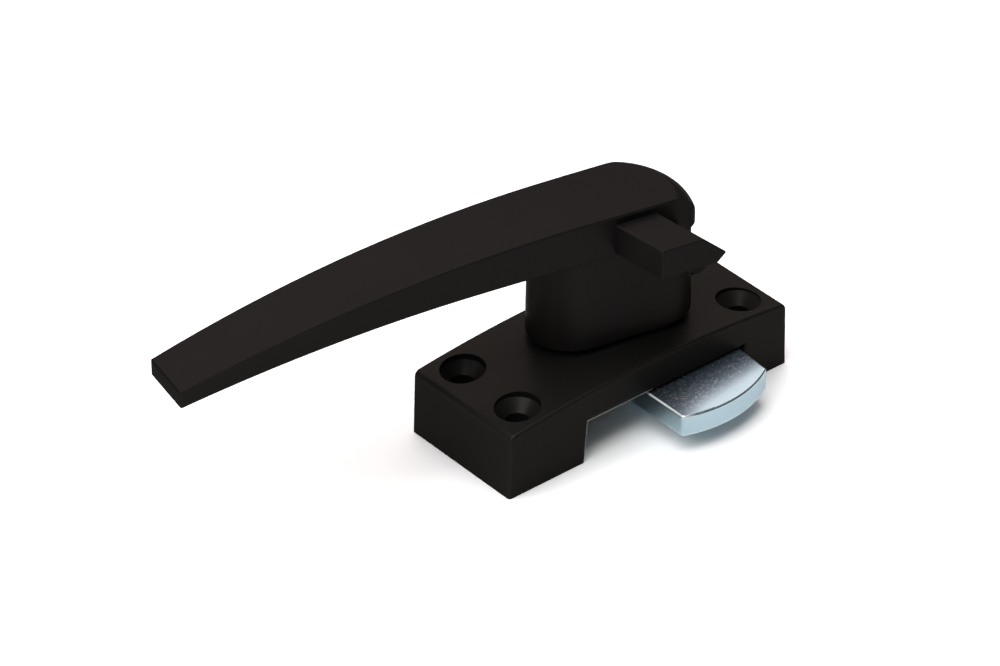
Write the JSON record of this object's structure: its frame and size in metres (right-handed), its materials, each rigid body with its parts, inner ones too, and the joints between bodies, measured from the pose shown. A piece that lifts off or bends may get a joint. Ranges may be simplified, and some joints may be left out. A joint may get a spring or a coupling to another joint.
{
  "type": "casement window handle",
  "caption": "Black die-cast casement window handle: arched screw-down base, cranked lever on a pivot with a ramped side nose, and a plated steel tongue swinging out below.",
  "frame": {"origin": "centre of the four fixing screws on the mounting face", "axes": "+X along the base towards the pivot end, +Y away from the side the tongue comes out of, +Z away from the sash"},
  "size_m": [0.135, 0.0554, 0.0494],
  "materials": {
    "black_coating": "satin black powder coat",
    "plated_steel": "bright zinc plate",
    "spring_steel": "oiled spring steel",
    "moulded_nylon": "moulded black nylon"
  },
  "bodies": {
    "base": {"base_housing": "black_coating", "pivot_bush": "moulded_nylon", "thrust_washer": "plated_steel"},
    "turning_handle": {"handle": "black_coating", "locking_tongue": "plated_steel", "disc_spring": "spring_steel", "plain_washer": "plated_steel", "lock_washer": "spring_steel", "retaining_screw": "plated_steel"}
  },
  "joints": [
    {"name": "handle_turn", "type": "hinge", "parent": "base", "child": "turning_handle", "pos_m": [0.01, 0, 0], "axis": [0, 0, 1], "range_deg": [-90, 0]}
  ]
}
